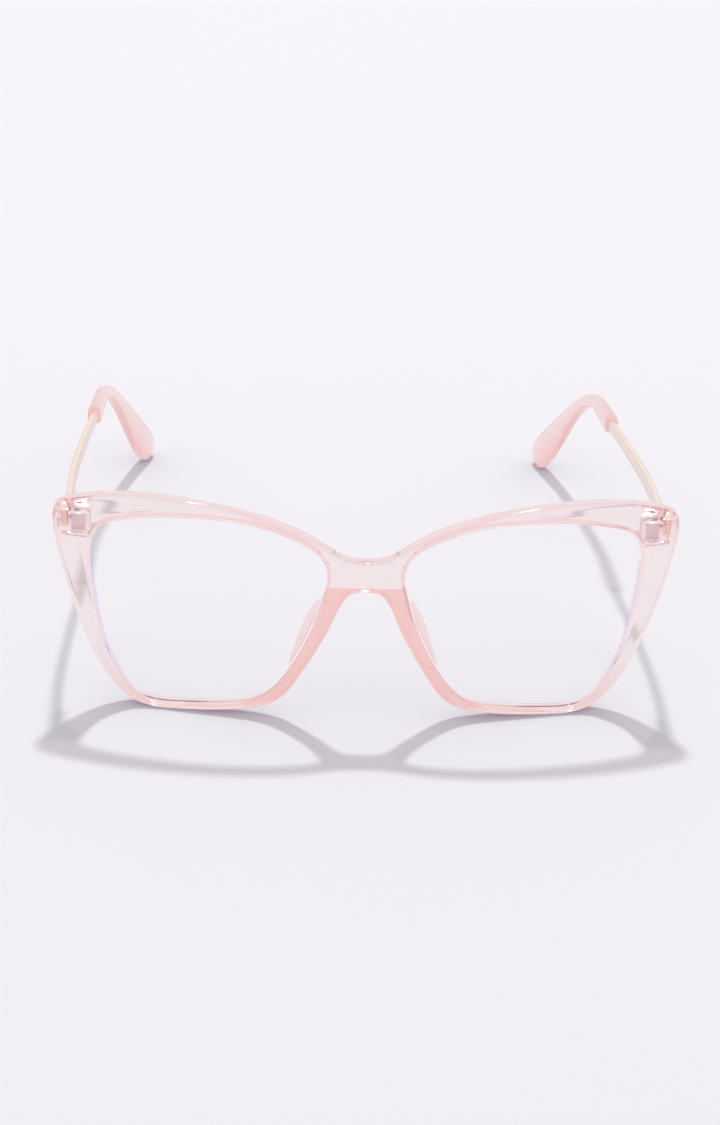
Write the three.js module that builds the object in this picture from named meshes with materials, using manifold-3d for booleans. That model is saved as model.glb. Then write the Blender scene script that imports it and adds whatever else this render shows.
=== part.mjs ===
// Blue light glasses: a clear pink moulded front with two lenses, slim metal temples and pink tips.
// Millimetres. +X is to the right as seen from the front, the front looks along -Y and +Z is up.
// The origin is the middle of the open glasses' footprint on the surface that they rest on, and the
// functions below place their shapes behind the bridge's front face. Left and right are as seen
// from the front.

import * as THREE from "three";
import { mergeVertices } from "three/addons/utils/BufferGeometryUtils.js";
import Module from "manifold-3d";

const wasm = await Module();
wasm.setup();

// Front: the openings for the lenses, the rims round them and the moulding's depth
const lensWidth = 54;
const lensHeight = 48;
const bridgeWidth = 17.4;
const endRim = 8.5;
const browRim = 4.2;
const footRim = 2.15;
const frontDepth = 3.6;
const edgeRound = 0.7;
const faceRadius = 250;
const footFlat = 0.15;

// Lenses
const lensThickness = 1.5;
const lensTuck = 0.5;
const fitGap = 0.3;

// Nose pads
const padFlare = 35;
const padReach = 4.1;
const padRoot = 1.2;
const padThickness = 2.2;

// Hinges
const hingeFromTop = 8.75;
const hingeDrop = 1.2;
const hingeHeight = 4.2;
const hingeInset = 6.1;
const barrelRadius = 1.3;
const barrelGap = 0.4;
const screwRadius = 0.55;
const screwHeadRadius = 1.05;
const screwHeadHeight = 0.6;
const screwSlotWidth = 0.35;
const screwSlotDepth = 0.3;
const plateWidth = 3.4;
const plateDepth = 1.2;
const plateWall = 0.3;
const leafThickness = 0.8;
const leafHeight = 3.2;
const leafLength = 6;
const leafStart = 1.7;

// Bosses behind the front's upper corners, which hold the hinges
const bossWidth = 6.7;
const bossHeight = 7;
const bossDrop = 0.5;
const bossDepth = 3;
const bossCorner = 2;
const bossSink = 1.4;

// Temple bars
const barThickness = 1.5;
const barHeight = 3.6;
const barEndHeight = 2.4;
const coreThickness = 0.9;
const coreHeight = 1.7;
const coreLength = 28;
const templeReach = 126.3;
const templeBow = 2.75;
const tipLeanLeft = 10;
const tipLeanRight = 9.2;
const openAngleLeft = 0;
const openAngleRight = 3.4;

// Temple tips
const sleeveWidth = 3.5;
const paddleHeight = 8;
const tipEndRise = 0.55;
const tipOffset = -0.2;

// How finely the round shapes are divided
const outlineSteps = 2;
const roundSteps = 20;
const sectionSteps = 12;
const tipStations = 18;
const tipEndRows = 4;
const barStations = 18;

// Sizes that follow from the ones above
const bridgeHalf = bridgeWidth / 2;
const halfWidth = bridgeHalf + lensWidth + endRim;
const frontHeight = footRim + lensHeight + browRim;
const curveLevel = frontHeight / 2;
const hingeLevel = frontHeight - hingeFromTop;
const overrun = frontDepth;

// Outer outline of one half, from the top of the bridge to the inner end of the lower rim:
// shares of the half width and of the height.
const rimShares = [
  [0, 0.765], [0.069, 0.779], [0.142, 0.837], [0.205, 0.883], [0.331, 0.942],
  [0.521, 0.988], [0.664, 1], [0.815, 0.989], [0.938, 0.953], [0.987, 0.92],
  [1, 0.88], [0.994, 0.773], [0.972, 0.635], [0.933, 0.451], [0.879, 0.261],
  [0.815, 0.11], [0.751, 0.029], [0.681, 0], [0.604, 0], [0.421, 0.022], [0.313, 0.057],
];

// Nose arch, from the lower rim up to its middle: shares of half the bridge and of the height.
const noseShares = [
  [2.08, 0.114], [1.494, 0.267], [1.011, 0.42], [0.632, 0.563], [0.391, 0.615], [0, 0.626],
];

// Lens opening, from its nose side over the top and round: shares of the lens width and height.
const lensShares = [
  [0, 0.726], [0.013, 0.809], [0.069, 0.876], [0.219, 0.955], [0.38, 0.993], [0.546, 1],
  [0.715, 0.989], [0.863, 0.957], [0.954, 0.916], [0.994, 0.847], [1, 0.736], [0.976, 0.497],
  [0.937, 0.289], [0.872, 0.126], [0.813, 0.034], [0.737, 0.001], [0.552, 0.007],
  [0.365, 0.032], [0.283, 0.064], [0.209, 0.143], [0.117, 0.316], [0.048, 0.505], [0.011, 0.664],
];

// Nose pad stations, from the bottom up: shares of half the bridge outwards, of the front's height,
// of the pad's reach and of its thickness.
const padShares = [
  [1.88, 0.215, 0.1, 0.5], [1.72, 0.255, 0.4, 0.8], [1.54, 0.31, 0.7, 1], [1.34, 0.38, 0.95, 1],
  [1.15, 0.46, 1, 1], [1.02, 0.53, 0.75, 0.8], [0.95, 0.58, 0.1, 0.5],
];

// Middle line of a temple: shares of its reach backwards, of its bow inwards, of its tip's lean
// inwards and of its fall from the hinge to the end of the tip. The tip begins at the row sleeveRow.
const templeShares = [
  [0, 0, 0, 0], [0.095, 0, 0, 0.02], [0.165, -0.12, 0, 0.043], [0.25, -0.105, 0, 0.07],
  [0.36, 0.113, 0, 0.104], [0.46, 0.385, 0, 0.136], [0.5556, 0.727, 0, 0.166],
  [0.63, 0.87, 0, 0.191], [0.693, 0.97, 0, 0.219], [0.741, 1, 0.07, 0.263],
  [0.788, 1, 0.16, 0.34], [0.849, 1, 0.31, 0.48], [0.919, 1, 0.57, 0.7], [1, 1, 1, 1],
];
const sleeveRow = 6;

// Tip sections, from its mouth to its end: shares of its length, of the sleeve's width, of the
// paddle's height and of the section's full size.
const tipShares = [
  [0, 1, 0.58, 0.94], [0.015, 1, 0.58, 1], [0.12, 0.95, 0.51, 1], [0.25, 0.85, 0.43, 1],
  [0.34, 0.8, 0.4, 1], [0.45, 0.79, 0.42, 1], [0.6, 0.81, 0.56, 1], [0.75, 0.85, 0.8, 1],
  [0.88, 0.88, 0.98, 1], [0.95, 0.9, 1, 0.92], [0.985, 0.9, 1, 0.68], [1, 0.9, 1, 0.28],
];

// How far the front's curve sets a point back
function sag(x, z) {
  return (x * x + (z - curveLevel) ** 2) / (2 * faceRadius);
}

// Smooth closed outline through points, as points in the front's own plane
function smoothLoop(points) {
  const corners = points.map(([x, z]) => new THREE.Vector3(x, z, 0));
  const curve = new THREE.CatmullRomCurve3(corners, true, "centripetal");
  const loop = curve.getPoints(points.length * outlineSteps);
  loop.pop();
  return loop.map((p) => new THREE.Vector2(p.x, p.y));
}

function frontOutline() {
  const rim = rimShares.map(([across, up]) => [across * halfWidth, up * frontHeight]);
  const nose = noseShares.map(([across, up]) => [across * bridgeHalf, up * frontHeight]);
  const half = [...rim, ...nose];
  const other = half.slice(1, -1).reverse().map(([x, z]) => [-x, z]);
  return smoothLoop([...half, ...other]).map((p) => p.setY(p.y - footFlat));
}

// Outline of a lens or its opening, grown outwards all round by a margin
function lensOutline(margin) {
  const width = lensWidth + 2 * margin;
  const height = lensHeight + 2 * margin;
  const left = bridgeHalf - margin;
  const bottom = footRim - margin - footFlat;
  return smoothLoop(lensShares.map(([across, up]) => [left + across * width, bottom + up * height]));
}

// Other side's copy of a geometry, mirrored in the middle plane with its faces still pointing out
function mirrored(geometry) {
  const copy = mergedPositions(geometry);
  copy.scale(-1, 1, 1);
  const index = copy.index.array;
  for (let i = 0; i < index.length; i += 3) {
    const second = index[i + 1];
    index[i + 1] = index[i + 2];
    index[i + 2] = second;
  }
  return copy;
}

// Geometry made for the right side, as it is there or mirrored for the left
function placed(geometry, side) {
  return side > 0 ? geometry : mirrored(geometry);
}

function mergedPositions(geometry) {
  const bare = geometry.clone();
  bare.deleteAttribute("normal");
  bare.deleteAttribute("uv");
  return mergeVertices(bare);
}

function toSolid(geometry) {
  const merged = mergedPositions(geometry);
  return new wasm.Manifold(new wasm.Mesh({
    numProp: 3,
    vertProperties: new Float32Array(merged.attributes.position.array),
    triVerts: new Uint32Array(merged.index.array),
  }));
}

function toGeometry(solid) {
  const mesh = solid.getMesh();
  const geometry = new THREE.BufferGeometry();
  geometry.setAttribute("position", new THREE.BufferAttribute(mesh.vertProperties, mesh.numProp));
  geometry.setIndex(new THREE.BufferAttribute(mesh.triVerts, 1));
  const flat = geometry.toNonIndexed();
  flat.computeVertexNormals();
  return flat;
}

// Box between two corners
function box(low, high) {
  const size = high.map((value, axis) => value - low[axis]);
  const middle = high.map((value, axis) => (value + low[axis]) / 2);
  return new THREE.BoxGeometry(...size).translate(...middle);
}

// Upright cylinder at a point of the plan, between two heights
function post(radius, x, y, bottom, top) {
  const cylinder = new THREE.CylinderGeometry(radius, radius, top - bottom, roundSteps);
  cylinder.rotateX(Math.PI / 2);
  return cylinder.translate(x, y, (top + bottom) / 2);
}

// Closed skin over a row of rings, which turn the same way and have as many points each
function loft(rings) {
  const steps = rings[0].length;
  const last = rings.length - 1;
  const points = rings.flat();
  const index = [];
  for (let ring = 0; ring < last; ring += 1) {
    for (let i = 0; i < steps; i += 1) {
      const a = ring * steps + i;
      const b = ring * steps + ((i + 1) % steps);
      index.push(a, a + steps, b, b, a + steps, b + steps);
    }
  }
  const start = points.push(middleOf(rings[0])) - 1;
  const end = points.push(middleOf(rings[last])) - 1;
  for (let i = 0; i < steps; i += 1) {
    const next = (i + 1) % steps;
    index.push(start, i, next);
    index.push(end, last * steps + next, last * steps + i);
  }
  const geometry = new THREE.BufferGeometry().setFromPoints(points);
  geometry.setIndex(index);
  geometry.computeVertexNormals();
  return geometry;
}

function middleOf(ring) {
  const sum = ring.reduce((total, point) => total.add(point), new THREE.Vector3());
  return sum.divideScalar(ring.length);
}

// Oval ring with flattened sides about a point: its two axes and its full sizes along them
function oval(centre, side, up, width, height) {
  const ring = [];
  for (let i = 0; i < sectionSteps; i += 1) {
    const angle = (2 * Math.PI * (i + 0.5)) / sectionSteps;
    const across = Math.sign(Math.cos(angle)) * Math.sqrt(Math.abs(Math.cos(angle)));
    const along = Math.sign(Math.sin(angle)) * Math.sqrt(Math.abs(Math.sin(angle)));
    const point = centre.clone();
    point.addScaledVector(side, (across * width) / 2);
    point.addScaledVector(up, (along * height) / 2);
    ring.push(point);
  }
  return ring;
}

// Where the hinges sit on the right side
const hingeX = halfWidth - hingeInset;
const bossFace = sag(hingeX, hingeLevel) + frontDepth + bossDepth;
const hingeY = bossFace + barrelRadius + barrelGap;
const barInner = barrelRadius + barrelGap - fitGap / 2 + leafThickness;
const barCentre = barInner + barThickness / 2;
const plateOuter = hingeX + barInner - 2 * fitGap - plateWall;
const barStart = sag(hingeX + barCentre, hingeLevel) + frontDepth + fitGap;
const hingeMiddle = hingeLevel - hingeDrop;
const hingeBottom = hingeMiddle - hingeHeight / 2;
const hingeTop = hingeMiddle + hingeHeight / 2;
const knuckleHeight = (hingeHeight - 2 * fitGap) / 3;

// Front moulding with its two openings, before anything is added or cut
function frontBlank() {
  const shape = new THREE.Shape(frontOutline());
  const opening = lensOutline(0);
  shape.holes.push(new THREE.Path(opening.map((p) => new THREE.Vector2(-p.x, p.y))));
  shape.holes.push(new THREE.Path(opening.toReversed()));
  const blank = new THREE.ExtrudeGeometry(shape, {
    depth: frontDepth - 2 * edgeRound,
    bevelThickness: edgeRound,
    bevelSize: edgeRound,
    bevelOffset: -edgeRound,
    bevelSegments: 2,
    curveSegments: 1,
  });
  blank.rotateX(Math.PI / 2);
  blank.translate(0, frontDepth - edgeRound, 0);
  return bent(blank);
}

// The same geometry set back point by point along the front's curve
function bent(geometry) {
  const position = geometry.attributes.position;
  for (let i = 0; i < position.count; i += 1) {
    position.setY(i, position.getY(i) + sag(position.getX(i), position.getZ(i)));
  }
  return geometry;
}

// Curved disc with an edge that comes to a ridge halfway through, grown by a margin
function lensBlank(margin) {
  const ridge = margin * Math.SQRT2;
  const outline = lensOutline(lensTuck + ridge).toReversed();
  const centre = new THREE.Vector2(bridgeHalf + lensWidth / 2, footRim + lensHeight / 2);
  const half = lensThickness / 2 + margin;
  const middle = frontDepth / 2;
  const faceShare = 1 - (half + ridge - margin) / (lensWidth / 2);
  const stations = [
    [faceShare / 3, -half], [(2 * faceShare) / 3, -half], [faceShare, -half], [1, 0],
    [faceShare, half], [(2 * faceShare) / 3, half], [faceShare / 3, half],
  ];
  const rings = stations.map(([share, depth]) => outline.map((p) => {
    const x = centre.x + (p.x - centre.x) * share;
    const z = centre.y + (p.y - centre.y) * share;
    return new THREE.Vector3(x, middle + depth, z);
  }));
  return bent(loft(rings));
}

// Nose pad on the right: a rounded fin behind the rim that opens outwards as it goes back
function nosePad() {
  const flare = THREE.MathUtils.degToRad(padFlare);
  const back = new THREE.Vector3(Math.sin(flare), Math.cos(flare), 0);
  const across = new THREE.Vector3(Math.cos(flare), -Math.sin(flare), 0);
  const rings = padShares.map(([outShare, upShare, reachShare, thickShare]) => {
    const x = outShare * bridgeHalf;
    const z = upShare * frontHeight;
    const reach = padReach * reachShare + padRoot;
    const root = new THREE.Vector3(x, sag(x, z) + frontDepth - padRoot, z);
    const middle = root.addScaledVector(back, reach / 2);
    return oval(middle, back, across, reach, padThickness * thickShare);
  });
  return loft(rings);
}

// Boss on the right: a block with one round corner, a recess for the hinge plate and a slot for the bar
function addBoss(front, side) {
  const inner = hingeX + barCentre + barThickness / 2 - bossWidth;
  const outer = inner + bossWidth;
  const bottom = hingeLevel - bossDrop - bossHeight / 2;
  const top = bottom + bossHeight;
  const outline = new THREE.Shape();
  outline.moveTo(inner, bottom);
  outline.lineTo(outer, bottom);
  outline.lineTo(outer, top);
  outline.lineTo(inner + bossCorner, top);
  outline.absarc(inner + bossCorner, top - bossCorner, bossCorner, Math.PI / 2, Math.PI);
  const block = new THREE.ExtrudeGeometry(outline, {
    depth: bossDepth + bossSink,
    bevelEnabled: false,
    curveSegments: roundSteps / 4,
  });
  block.rotateX(Math.PI / 2);
  block.translate(0, bossFace, 0);
  const recess = box(
    [plateOuter - plateWidth - fitGap, bossFace - plateDepth - fitGap, hingeBottom - fitGap],
    [plateOuter + fitGap, bossFace + overrun, hingeTop + fitGap],
  );
  const slot = box(
    [hingeX + barInner - fitGap, barStart - fitGap, hingeLevel - barHeight / 2 - fitGap],
    [outer + overrun, bossFace + overrun, hingeLevel + barHeight / 2 + fitGap],
  );
  return front
    .add(toSolid(placed(block, side)))
    .subtract(toSolid(placed(recess, side)))
    .subtract(toSolid(placed(slot, side)));
}

function frontFrame() {
  let front = toSolid(frontBlank());
  for (const side of [1, -1]) {
    front = front.add(toSolid(placed(nosePad(), side)));
    front = addBoss(front, side);
    front = front.subtract(toSolid(placed(lensBlank(fitGap), side)));
  }
  const ground = box(
    [-halfWidth - overrun, -overrun, -overrun],
    [halfWidth + overrun, hingeY + overrun, 0],
  );
  return toGeometry(front.subtract(toSolid(ground)));
}

// Hinge part that the boss holds: a plate with an upper and a lower knuckle
function frontHinge() {
  const plate = box(
    [plateOuter - plateWidth, bossFace - plateDepth, hingeBottom],
    [plateOuter, bossFace, hingeTop],
  );
  let hinge = toSolid(plate);
  for (const bottom of [hingeBottom, hingeTop - knuckleHeight]) {
    const top = bottom + knuckleHeight;
    const arm = box(
      [hingeX - barrelRadius, bossFace - plateDepth / 2, bottom],
      [hingeX + barrelRadius, hingeY, top],
    );
    hinge = hinge.add(toSolid(arm)).add(toSolid(post(barrelRadius, hingeX, hingeY, bottom, top)));
  }
  return toGeometry(hinge.subtract(toSolid(screwHole())));
}

function screwHole() {
  return post(screwRadius + fitGap, hingeX, hingeY, hingeBottom - overrun, hingeTop + overrun);
}

// Screw down the hinge's axis, with a slotted head on top
function hingeScrew() {
  const headBottom = hingeTop + fitGap;
  const headTop = headBottom + screwHeadHeight;
  const shaft = post(screwRadius, hingeX, hingeY, hingeBottom, headBottom + screwHeadHeight / 2);
  const head = post(screwHeadRadius, hingeX, hingeY, headBottom, headTop);
  const slotHalf = screwSlotWidth / 2;
  const slotReach = screwHeadRadius + screwSlotWidth;
  const slot = box(
    [hingeX - slotReach, hingeY - slotHalf, headTop - screwSlotDepth],
    [hingeX + slotReach, hingeY + slotHalf, headTop + screwSlotDepth],
  );
  return toGeometry(toSolid(shaft).add(toSolid(head)).subtract(toSolid(slot)));
}

// Hinge part on the temple, about the hinge's axis: the middle knuckle, its neck and a leaf
function templeHinge() {
  const bottom = hingeMiddle - knuckleHeight / 2;
  const top = hingeMiddle + knuckleHeight / 2;
  const leafOuter = barInner - fitGap;
  const neck = box([0, 0, bottom], [leafOuter, leafStart + leafThickness, top]);
  const leaf = box(
    [leafOuter - leafThickness, leafStart, hingeMiddle - leafHeight / 2],
    [leafOuter, leafStart + leafLength, hingeMiddle + leafHeight / 2],
  );
  const barrel = post(barrelRadius, 0, 0, bottom, top);
  const hole = post(screwRadius + fitGap, 0, 0, bottom - overrun, top + overrun);
  const joined = toSolid(barrel).add(toSolid(neck)).add(toSolid(leaf));
  return toGeometry(joined.subtract(toSolid(hole)));
}

// Middle line of a temple that stands on the right, about the hinge's axis, for a lean of its tip
const templeFall = hingeLevel - tipEndRise;

function templeCurve(tipLean) {
  const points = templeShares.map(([backShare, bowShare, leanShare, fallShare]) => new THREE.Vector3(
    barCentre - bowShare * templeBow - leanShare * tipLean,
    barStart - hingeY + backShare * templeReach,
    hingeLevel - fallShare * templeFall,
  ));
  const curve = new THREE.CatmullRomCurve3(points, false, "centripetal");
  const lengths = curve.getLengths((points.length - 1) * outlineSteps);
  curve.fullLength = lengths.at(-1);
  curve.mouthShare = lengths[sleeveRow * outlineSteps] / curve.fullLength;
  return curve;
}

// Point and upright axes of the temple's section at a share of its length
function templeFrame(curve, share) {
  const along = curve.getTangentAt(share);
  const side = new THREE.Vector3(along.y, -along.x, 0).normalize();
  const up = side.clone().cross(along);
  return { centre: curve.getPointAt(share), side, up };
}

// Flat bar with rounded edges from the hinge to the tip's mouth, and the thinner core inside the tip
function templeBar(curve) {
  const rings = [];
  const barEnd = curve.mouthShare - fitGap / curve.fullLength;
  for (let i = 0; i <= barStations; i += 1) {
    const share = (barEnd * i) / barStations;
    const height = THREE.MathUtils.lerp(barHeight, barEndHeight, i / barStations);
    const { centre, side, up } = templeFrame(curve, share);
    rings.push(oval(centre, side, up, barThickness, height));
  }
  rings.push(...coreRings(curve, barEnd, 0));
  return loft(rings);
}

// Rings of the core from a share of the temple's length on, grown by a margin
function coreRings(curve, firstShare, margin) {
  const rings = [];
  const steps = barStations / 2;
  const lastShare = curve.mouthShare + (coreLength + margin) / curve.fullLength;
  for (let i = 0; i <= steps; i += 1) {
    const share = THREE.MathUtils.lerp(firstShare, lastShare, i / steps);
    const { centre, side, up } = templeFrame(curve, share);
    rings.push(oval(centre, side, up, coreThickness + 2 * margin, coreHeight + 2 * margin));
  }
  return rings;
}

// Value of a column of the tip's table at a share of the tip's length
function tipValue(share, column) {
  const next = tipShares.findIndex((row) => row[0] >= share);
  if (next <= 0) return tipShares[0][column];
  const [before, after] = [tipShares[next - 1], tipShares[next]];
  const between = (share - before[0]) / (after[0] - before[0]);
  return THREE.MathUtils.lerp(before[column], after[column], between);
}

// Soft-edged tip: a sleeve that bends down behind the ear and widens to a rounded paddle
function templeTip(curve) {
  const mouthRows = tipShares.slice(0, 2);
  const endRows = tipShares.slice(-tipEndRows);
  const evenShares = Array.from({ length: tipStations }, (_, i) => (i + 1) / tipStations);
  const stations = [
    ...mouthRows.map((row) => row[0]),
    ...evenShares.filter((share) => share < endRows[0][0]),
    ...endRows.map((row) => row[0]),
  ];
  const rings = stations.map((share) => {
    const wholeShare = THREE.MathUtils.lerp(curve.mouthShare, 1, share);
    const { centre, side, up } = templeFrame(curve, wholeShare);
    const full = tipValue(share, 3);
    const width = sleeveWidth * tipValue(share, 1) * full;
    const height = paddleHeight * tipValue(share, 2) * full;
    return oval(centre.addScaledVector(side, -tipOffset), side, up, width, height);
  });
  const bore = loft(coreRings(curve, curve.mouthShare - fitGap / curve.fullLength, fitGap));
  const ground = box(
    [-templeReach, 0, -overrun - paddleHeight],
    [templeReach, templeReach + paddleHeight, 0],
  );
  return toGeometry(toSolid(loft(rings)).subtract(toSolid(bore)).subtract(toSolid(ground)));
}

// Materials
const moulding = { color: 0xf3dde0, roughness: 0.25, metalness: 0 };
const lensClear = { color: 0xf6f5fb, roughness: 0.05, metalness: 0, transparent: true, opacity: 0.3 };
const steel = { color: 0xb9a9a6, roughness: 0.35, metalness: 0.9 };
const gold = { color: 0xf0dcbe, roughness: 0.3, metalness: 0.9 };
const tipPink = { color: 0xf2cfd1, roughness: 0.35, metalness: 0 };

function named(name, geometry, look) {
  const mesh = new THREE.Mesh(geometry, new THREE.MeshStandardMaterial(look));
  mesh.name = name;
  return mesh;
}

const glasses = new THREE.Group();
glasses.add(named("front_frame", frontFrame(), moulding));

const lens = lensBlank(0);
const hinge = frontHinge();
const screw = hingeScrew();
const leaf = templeHinge();

for (const { word, side, angle, tipLean } of [
  { word: "left", side: -1, angle: openAngleLeft, tipLean: tipLeanLeft },
  { word: "right", side: 1, angle: openAngleRight, tipLean: tipLeanRight },
]) {
  const curve = templeCurve(tipLean);
  glasses.add(named(`lens_${word}`, placed(lens, side), lensClear));
  glasses.add(named(`hinge_front_${word}`, placed(hinge, side), steel));
  glasses.add(named(`hinge_screw_${word}`, placed(screw, side), steel));
  const temple = new THREE.Group();
  temple.position.set(side * hingeX, hingeY, 0);
  temple.rotation.z = side * THREE.MathUtils.degToRad(angle);
  temple.add(named(`hinge_temple_${word}`, placed(leaf, side), steel));
  temple.add(named(`temple_bar_${word}`, placed(templeBar(curve), side), gold));
  temple.add(named(`temple_tip_${word}`, placed(templeTip(curve), side), tipPink));
  glasses.add(temple);
}

// The footprint's middle comes to the origin
const footprint = new THREE.Box3().setFromObject(glasses, true);
glasses.position.y = -footprint.getCenter(new THREE.Vector3()).y;
const whole = new THREE.Group();
whole.add(glasses);

export default whole;
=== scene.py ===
"""Blue light glasses: the finished front, lenses, hinges and temples, made round the plain solids.

Everything is in metres, in the model's own frame: +X to the right as seen from the front, the
front looks along -Y and +Z is up. Left and right are as seen from the front.
"""

import math

import bmesh
import bpy
from bpy.props import FloatProperty, FloatVectorProperty, IntProperty, PointerProperty
from mathutils import Matrix, Vector, geometry


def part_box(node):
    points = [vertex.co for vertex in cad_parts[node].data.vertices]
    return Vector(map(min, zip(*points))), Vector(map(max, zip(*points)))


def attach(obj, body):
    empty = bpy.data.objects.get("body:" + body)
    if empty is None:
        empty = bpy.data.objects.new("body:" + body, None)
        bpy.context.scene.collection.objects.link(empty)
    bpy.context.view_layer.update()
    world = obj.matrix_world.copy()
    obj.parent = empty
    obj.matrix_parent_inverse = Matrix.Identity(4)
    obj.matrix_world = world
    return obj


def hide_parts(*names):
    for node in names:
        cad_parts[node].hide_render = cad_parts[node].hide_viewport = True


bl_info = {
    "name": "Blue light glasses",
    "version": (1, 0, 0),
    "blender": (4, 5, 0),
    "location": "3D View > Sidebar > Glasses",
    "description": "Makes clear pink glasses with gold temples round their plain solids",
    "category": "Add Mesh",
}

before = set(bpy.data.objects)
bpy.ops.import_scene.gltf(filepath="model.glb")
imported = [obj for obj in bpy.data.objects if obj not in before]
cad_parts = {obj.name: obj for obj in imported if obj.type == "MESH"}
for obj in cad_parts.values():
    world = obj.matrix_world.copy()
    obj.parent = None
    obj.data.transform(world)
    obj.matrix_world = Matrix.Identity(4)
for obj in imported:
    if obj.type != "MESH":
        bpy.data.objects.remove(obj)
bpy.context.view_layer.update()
MM = 0.001
FRONT_LOW, FRONT_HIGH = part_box("front_frame")
SCREW_LOW, SCREW_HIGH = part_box("hinge_screw_right")
SIDES = (("left", -1), ("right", 1))

# Where the hinges' axes stand: from the middle, and from front to back
HINGE_X = (SCREW_LOW.x + SCREW_HIGH.x) / 2
HINGE_Y = (SCREW_LOW.y + SCREW_HIGH.y) / 2

# Points closer than this are one point, and faces that meet at more than this angle stay crisp
SAME = 0.001 * MM
SHARP_ANGLE = math.radians(35)

# Height of the bridge's middle as a share of the front's
BRIDGE_SHARE = 0.7

# Outer outline of the front's right half, from the top of the bridge to the inner end of the lower
# rim: shares of the half width and of the height
RIM_SHARES = (
    (0, 0.765), (0.069, 0.779), (0.142, 0.837), (0.205, 0.883), (0.331, 0.942),
    (0.521, 0.988), (0.664, 1), (0.815, 0.989), (0.938, 0.953), (0.987, 0.92),
    (1, 0.88), (0.994, 0.773), (0.972, 0.635), (0.933, 0.451), (0.879, 0.261),
    (0.815, 0.11), (0.751, 0.029), (0.681, 0), (0.604, 0), (0.421, 0.022), (0.313, 0.057),
)

# Nose arch, from the lower rim up to its middle: shares of half the bridge and of the height
NOSE_SHARES = (
    (2.08, 0.114), (1.494, 0.267), (1.011, 0.42), (0.632, 0.563), (0.391, 0.615), (0, 0.626),
)

# Opening for the right lens, from its nose side over the top: shares of its width and height
OPENING_SHARES = (
    (0, 0.726), (0.013, 0.809), (0.069, 0.876), (0.219, 0.955), (0.38, 0.993), (0.546, 1),
    (0.715, 0.989), (0.863, 0.957), (0.954, 0.916), (0.994, 0.847), (1, 0.736), (0.976, 0.497),
    (0.937, 0.289), (0.872, 0.126), (0.813, 0.034), (0.737, 0.001), (0.552, 0.007),
    (0.365, 0.032), (0.283, 0.064), (0.209, 0.143), (0.117, 0.316), (0.048, 0.505), (0.011, 0.664),
)

# Nose pad stations, from the bottom up: shares of half the bridge, of the height, of the pad's
# reach and of its thickness
PAD_SHARES = (
    (1.88, 0.215, -0.12, 0.5), (1.72, 0.255, 0.4, 0.8), (1.54, 0.31, 0.7, 1), (1.34, 0.38, 0.95, 1),
    (1.15, 0.46, 1, 1), (1.02, 0.53, 0.75, 0.8), (0.95, 0.58, -0.12, 0.5),
)

# Row of the opening's table that each row of the outline and of the arch faces, from the bridge's
# top round to the arch's top
FACING_ROWS = (
    0.75, 1.15, 1.75, 2.35, 3.35, 4.85, 6, 7.25, 8.3, 8.8, 9.2, 9.85, 10.5, 11.35, 12.35, 13.4,
    14.3, 15, 15.55, 16.85, 17.9, 18.6, 19.6, 20.5, 21.4, 21.85, 22.3,
)

# Middle line of a temple: shares of its reach, of its bow inwards, of its tip's lean inwards and
# of its fall from the hinge to its end. The tip begins at the row SLEEVE_ROW.
TEMPLE_SHARES = (
    (0, 0, 0, 0), (0.095, 0, 0, 0.02), (0.165, -0.12, 0, 0.043), (0.25, -0.105, 0, 0.07),
    (0.36, 0.113, 0, 0.104), (0.46, 0.385, 0, 0.136), (0.5556, 0.727, 0, 0.166),
    (0.63, 0.87, 0, 0.191), (0.693, 0.97, 0, 0.219), (0.741, 1, 0.07, 0.263),
    (0.788, 1, 0.16, 0.34), (0.849, 1, 0.31, 0.48), (0.919, 1, 0.57, 0.7), (1, 1, 1, 1),
)
SLEEVE_ROW = 6

# Tip sections from its mouth to its end: shares of its length, of the sleeve's width, of the
# paddle's height and of the full section
TIP_SHARES = (
    (0, 1, 0.58, 0.97), (0.012, 1, 0.58, 1), (0.12, 0.95, 0.51, 1), (0.25, 0.85, 0.43, 1),
    (0.34, 0.8, 0.4, 1), (0.45, 0.79, 0.42, 1), (0.6, 0.81, 0.56, 1), (0.75, 0.85, 0.8, 1),
    (0.88, 0.88, 0.98, 1), (0.95, 0.9, 1, 0.92), (0.985, 0.9, 1, 0.68), (1, 0.9, 1, 0.28),
)

# How finely the front is made: over its faces and over the seam in the middle of its bridge
FACE_STEPS = 7
SEAM_STEPS = 8
SEAM_WAYS = [(i + 1) / SEAM_STEPS for i in range(SEAM_STEPS - 1)]

# Points of an opening that are looked up for each point of the outline
FINE_TIMES = 4

# Steps over the rounded outer edges, over the openings' rounded edges, along a pad's span, round a
# boss's corner, along a span of a temple's line and along a bar, and rings over a lens
EDGE_ROUND_STEPS = 8
OPENING_ROUND_STEPS = 6
PAD_STEPS = 6
BOSS_CORNER_STEPS = 8
LINE_STEPS = 16
BAR_STEPS = 60
LENS_RINGS = 14

# Points round a cylinder, a pad and a tip
CYLINDER_AROUND = 32
PAD_AROUND = 28
TIP_AROUND = 48

# Places of the sections along a tip, with one more just before its end
TIP_STEPS = 72
TIP_WAYS = [i / TIP_STEPS for i in range(TIP_STEPS)] + [0.993, 1]

# How square the rings of the pads and of the tips are: 2 is round
PAD_SQUARENESS = 2.6
TIP_SQUARENESS = 3.2

# Where the warm colour of the front fades: across from the nose, up from the feet, up to the
# bridge on a slope, forwards from the back face, and outwards and upwards at the upper corners
NOSE_SPAN = (18 * MM, 36 * MM)
FOOT_SPAN = (1 * MM, 14 * MM)
BRIDGE_SPAN = (11.7 * MM, 12.1 * MM)
BRIDGE_SLOPE = 0.33
BACK_SPAN = (-0.2 * MM, 0.4 * MM)
CORNER_SPAN = (62 * MM, 70 * MM)
CORNER_RISE = (40 * MM, 50 * MM)

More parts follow.
